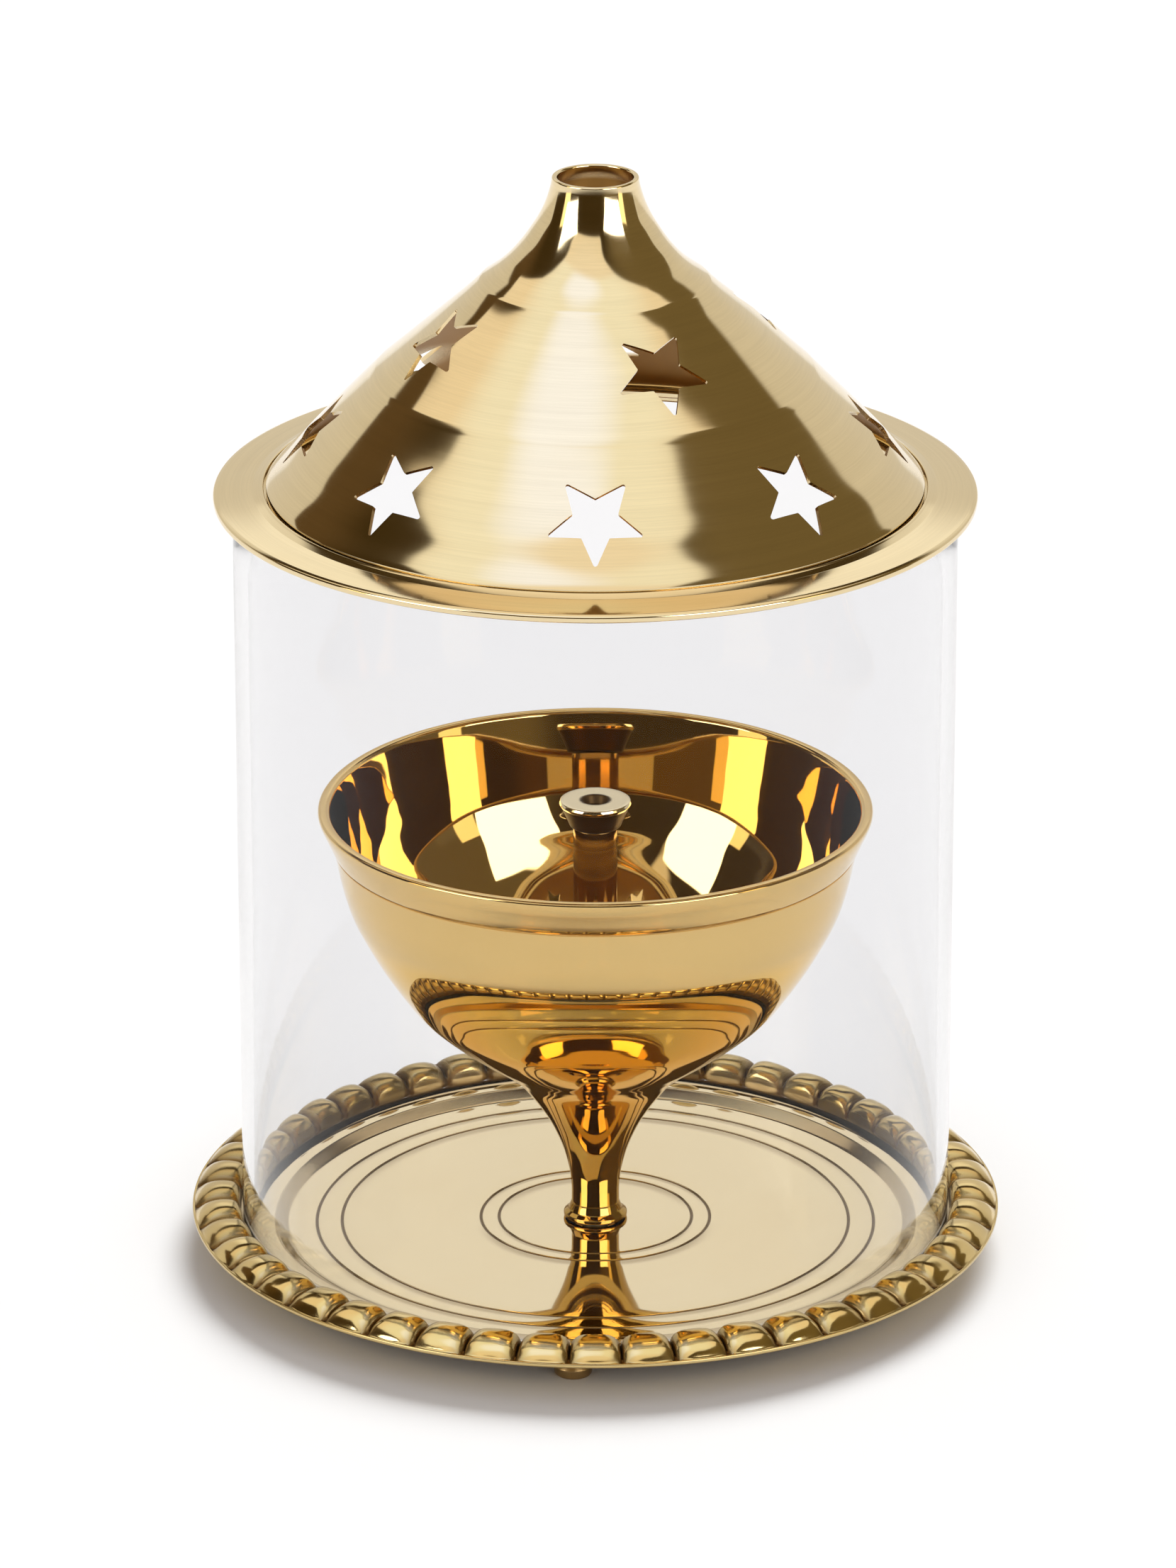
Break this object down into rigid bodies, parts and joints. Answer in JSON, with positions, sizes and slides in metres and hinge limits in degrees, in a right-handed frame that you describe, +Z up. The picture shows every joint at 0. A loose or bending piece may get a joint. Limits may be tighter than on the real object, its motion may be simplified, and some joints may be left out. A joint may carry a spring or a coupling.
{
  "type": "oil lamp with glass chimney",
  "caption": "Brass table oil lamp: round tray with a gadrooned rim on small feet, stemmed oil bowl with a wick holder, clear glass chimney and a conical lid with star cut-outs.",
  "frame": {"origin": "centre of the footprint, on the plane the three feet stand on", "axes": "+Z up along the lamp's turning axis, -Y is the front with the front foot and a star over it, +X to the right seen from the front"},
  "size_m": [0.13, 0.13, 0.1786],
  "materials": {
    "cast_brass": "polished cast brass",
    "bowl_brass": "mirror polished, satin below the lip outside",
    "wick_brass": "polished turned brass",
    "spun_brass": "lathe-brushed, lacquered",
    "steel": "plain bright steel",
    "clear_glass": "clear polished glass"
  },
  "bodies": {
    "base": {"base_plate": "cast_brass", "foot_front": "cast_brass", "foot_right": "cast_brass", "foot_left": "cast_brass", "bowl": "bowl_brass", "bowl_washer": "steel", "bowl_screw": "steel"},
    "wick_holder": {"wick_foot": "wick_brass", "wick_tube": "wick_brass"},
    "nozzle": {"wick_nozzle": "wick_brass"},
    "chimney": {"glass_chimney": "clear_glass"},
    "lid": {"lid_brim": "spun_brass", "lid_cone": "spun_brass"}
  },
  "joints": [
    {"name": "chimney_lift", "type": "slide", "parent": "base", "child": "chimney", "axis": [0, 0, 1], "range_m": [0, 0.09]},
    {"name": "lid_lift", "type": "slide", "parent": "chimney", "child": "lid", "axis": [0, 0, 1], "range_m": [0, 0.08]},
    {"name": "wick_lift", "type": "slide", "parent": "base", "child": "wick_holder", "axis": [0, 0, 1], "range_m": [0, 0.055]},
    {"name": "nozzle_lift", "type": "slide", "parent": "wick_holder", "child": "nozzle", "axis": [0, 0, 1], "range_m": [0, 0.012]}
  ]
}
